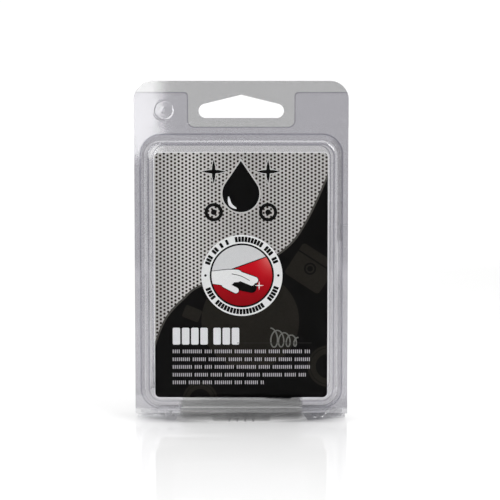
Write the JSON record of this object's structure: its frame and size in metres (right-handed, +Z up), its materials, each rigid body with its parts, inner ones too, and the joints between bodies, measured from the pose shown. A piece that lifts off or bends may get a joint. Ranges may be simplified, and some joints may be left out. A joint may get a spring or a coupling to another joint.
{
  "type": "clay bar in a clamshell pack",
  "caption": "Black detailing clay bar in a clear hinged clamshell with a hang hole, a bow-fronted foot and a printed card in each half.",
  "frame": {"origin": "on the floor, under the middle of the pack", "axes": "+Z up, +X to the right as seen from the front, the printed front looks along -Y"},
  "size_m": [0.093, 0.024, 0.1472],
  "materials": {
    "clear_sheet": "gloss",
    "front_print": "satin",
    "rear_print": "satin",
    "clay": "matte",
    "film": "gloss"
  },
  "bodies": {
    "rear_half": {"rear_shell": "clear_sheet", "living_hinge": "clear_sheet"},
    "front_half": {"front_shell": "clear_sheet"},
    "front_print": {"front_card": "front_print"},
    "rear_print": {"rear_card": "rear_print"},
    "bar": {"clay_bar": "clay", "clay_wrap": "film"}
  },
  "joints": [
    {"name": "pack_hinge", "type": "hinge", "parent": "rear_half", "child": "front_half", "pos_m": [0, 0, 0.001], "axis": [1, 0, 0], "range_deg": [0, 160]},
    {"name": "front_card_slide", "type": "slide", "parent": "front_half", "child": "front_print", "axis": [0, 0, 1], "range_m": [0, 0.0025]},
    {"name": "rear_card_slide", "type": "slide", "parent": "rear_half", "child": "rear_print", "axis": [0, 0, 1], "range_m": [0, 0.0025]},
    {"name": "clay_slide", "type": "slide", "parent": "rear_half", "child": "bar", "axis": [0, 0, 1], "range_m": [0, 0.045]}
  ]
}
